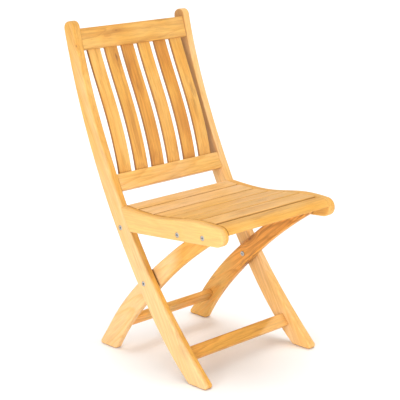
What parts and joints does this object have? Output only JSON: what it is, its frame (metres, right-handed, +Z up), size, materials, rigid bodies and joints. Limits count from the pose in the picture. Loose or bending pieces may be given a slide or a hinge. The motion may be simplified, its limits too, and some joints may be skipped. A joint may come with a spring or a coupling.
{
  "type": "folding chair",
  "caption": "Wooden folding chair with a slatted back and seat, curved crossing legs and steel fold links.",
  "frame": {"origin": "on the floor, in the middle of the chair's width and depth", "axes": "+Z up, +X to the sitter's left, the sitter faces -Y"},
  "size_m": [0.44, 0.6143, 0.9262],
  "materials": {
    "frame_wood": "oiled, satin",
    "slat_wood": "oiled, satin",
    "leg_wood": "oiled, satin",
    "steel": "zinc plated, satin"
  },
  "bodies": {
    "back_frame": {"left_stile": "frame_wood", "right_stile": "frame_wood", "top_rail": "frame_wood", "lower_back_rail": "frame_wood", "back_slat_1": "slat_wood", "back_slat_2": "slat_wood", "back_slat_3": "slat_wood", "back_slat_4": "slat_wood", "back_slat_5": "slat_wood", "back_slat_6": "slat_wood", "front_stretcher": "frame_wood", "cross_bolts": "steel", "cross_nuts": "steel", "cross_washers": "steel", "back_link_bolts": "steel"},
    "seat": {"left_seat_rail": "frame_wood", "right_seat_rail": "frame_wood", "seat_slat_1": "slat_wood", "seat_slat_2": "slat_wood", "seat_slat_3": "slat_wood", "seat_slat_4": "slat_wood", "seat_slat_5": "slat_wood", "seat_slat_6": "slat_wood", "seat_slat_7": "slat_wood", "leg_top_bolts": "steel", "leg_top_nuts": "steel", "leg_top_washers": "steel", "rail_link_bolts": "steel", "rail_link_nuts": "steel"},
    "rear_legs": {"left_rear_leg": "leg_wood", "right_rear_leg": "leg_wood", "rear_stretcher": "leg_wood"},
    "left_link": {"left_link": "steel", "left_link_stud": "steel"},
    "right_link": {"right_link": "steel", "right_link_stud": "steel"}
  },
  "joints": [
    {"name": "leg_fold", "type": "hinge", "parent": "back_frame", "child": "rear_legs", "pos_m": [0, -0.0054, 0.2405], "axis": [-1, 0, 0], "range_deg": [0, 65]},
    {"name": "seat_tilt", "type": "hinge", "parent": "rear_legs", "child": "seat", "pos_m": [0, -0.2348, 0.4178], "axis": [-1, 0, 0], "range_deg": [-134.8, 0]},
    {"name": "left_link_swing", "type": "hinge", "parent": "seat", "child": "left_link", "pos_m": [0.192, -0.14076, 0.4068], "axis": [-1, 0, 0], "range_deg": [0, 157.1]},
    {"name": "right_link_swing", "type": "hinge", "parent": "seat", "child": "right_link", "pos_m": [-0.192, -0.14076, 0.4068], "axis": [-1, 0, 0], "range_deg": [0, 157.1]}
  ],
  "couplings": [
    {"joint": "seat_tilt", "follows": "leg_fold", "ratio": -2.0733},
    {"joint": "left_link_swing", "follows": "leg_fold", "ratio": 2.4152},
    {"joint": "right_link_swing", "follows": "leg_fold", "ratio": 2.4152}
  ]
}
